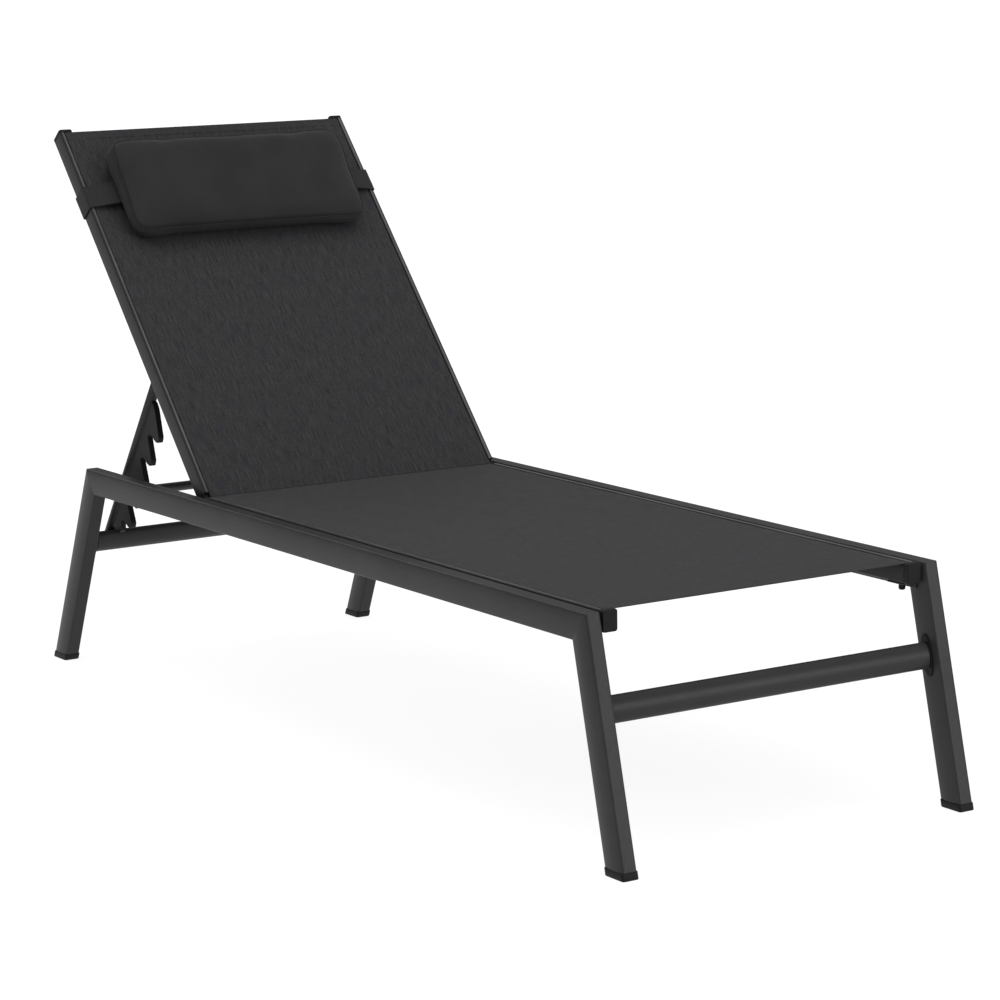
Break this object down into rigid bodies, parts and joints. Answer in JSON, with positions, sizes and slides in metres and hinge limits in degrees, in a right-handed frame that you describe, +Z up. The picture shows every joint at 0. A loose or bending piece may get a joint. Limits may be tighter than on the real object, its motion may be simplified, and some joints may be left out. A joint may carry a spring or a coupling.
{
  "type": "reclining sun lounger",
  "caption": "Low garden lounger on splayed legs with a mesh sling, a folding backrest on a toothed prop and a strapped head pillow.",
  "frame": {"origin": "on the floor plane, midway between the side frames and at the centre of the overall length", "axes": "+X towards the foot end, +Z up, +Y towards the left-hand side of a person lying on it"},
  "size_m": [1.7614, 0.642, 0.9473],
  "materials": {
    "frame_metal": "anthracite powder coat, satin, on aluminium tube",
    "black_plastic": "moulded black plastic with a fine matt grain",
    "black_steel": "black zinc-plated steel bolts",
    "sling_mesh": "coated mesh weave, charcoal with fine slub lines",
    "pillow_cloth": "plain dark woven cover, soft matt",
    "strap_elastic": "black elastic webbing"
  },
  "bodies": {
    "seat_frame": {"right_side_rail": "frame_metal", "right_front_leg": "frame_metal", "right_front_foot_cap": "black_plastic", "right_front_stretcher_plate": "black_plastic", "right_front_lug": "frame_metal", "right_front_hand_bolt": "black_plastic", "right_rear_leg": "frame_metal", "right_rear_foot_cap": "black_plastic", "right_rear_stretcher_plate": "black_plastic", "right_rear_lug": "frame_metal", "right_rear_hand_bolt": "black_plastic", "right_seat_rail": "frame_metal", "right_seat_rail_cap": "black_plastic", "right_seat_spline": "black_plastic", "left_side_rail": "frame_metal", "left_front_leg": "frame_metal", "left_front_foot_cap": "black_plastic", "left_front_stretcher_plate": "black_plastic", "left_front_lug": "frame_metal", "left_front_hand_bolt": "black_plastic", "left_rear_leg": "frame_metal", "left_rear_foot_cap": "black_plastic", "left_rear_stretcher_plate": "black_plastic", "left_rear_lug": "frame_metal", "left_rear_hand_bolt": "black_plastic", "left_seat_rail": "frame_metal", "left_seat_rail_cap": "black_plastic", "left_seat_spline": "black_plastic", "front_stretcher": "frame_metal", "rear_stretcher": "frame_metal", "seat_cross_tube_1": "frame_metal", "seat_cross_tube_2": "frame_metal", "catch_bar": "frame_metal", "seat_sling": "sling_mesh"},
    "hinge_pins": {"right_hinge_bolt": "black_steel", "left_hinge_bolt": "black_steel"},
    "backrest": {"right_back_rail": "frame_metal", "right_hinge_knuckle": "black_plastic", "right_back_rail_cap": "black_plastic", "right_back_spline": "black_plastic", "right_prop_bracket": "frame_metal", "right_pillow_strap": "strap_elastic", "left_back_rail": "frame_metal", "left_hinge_knuckle": "black_plastic", "left_back_rail_cap": "black_plastic", "left_back_spline": "black_plastic", "left_prop_bracket": "frame_metal", "left_pillow_strap": "strap_elastic", "back_cross_tube_1": "frame_metal", "back_cross_tube_2": "frame_metal", "back_sling": "sling_mesh", "pillow": "pillow_cloth"},
    "prop_pins": {"right_prop_bolt": "black_steel", "left_prop_bolt": "black_steel"},
    "prop": {"right_prop_tube": "frame_metal", "right_rack": "black_plastic", "left_prop_tube": "frame_metal", "left_rack": "black_plastic", "prop_cross_tube": "frame_metal"}
  },
  "joints": [
    {"name": "backrest_recline", "type": "hinge", "parent": "seat_frame", "child": "hinge_pins", "pos_m": [-0.3535, 0, 0.3475], "axis": [0, 1, 0], "range_deg": [-46.9, 0]},
    {"name": "backrest_raise", "type": "hinge", "parent": "hinge_pins", "child": "backrest", "pos_m": [-0.3535, 0, 0.3475], "axis": [0, 1, 0], "range_deg": [0, 22.8]},
    {"name": "prop_fold", "type": "hinge", "parent": "backrest", "child": "prop_pins", "pos_m": [-0.54953, 0, 0.5746], "axis": [0, 1, 0], "range_deg": [0, 99.6]},
    {"name": "prop_trail", "type": "hinge", "parent": "prop_pins", "child": "prop", "pos_m": [-0.54953, 0, 0.5746], "axis": [0, 1, 0], "range_deg": [-14.2, 0]}
  ],
  "couplings": [
    {"joint": "prop_fold", "follows": "backrest_recline", "ratio": -2.1194},
    {"joint": "prop_trail", "follows": "backrest_raise", "ratio": -0.614}
  ]
}
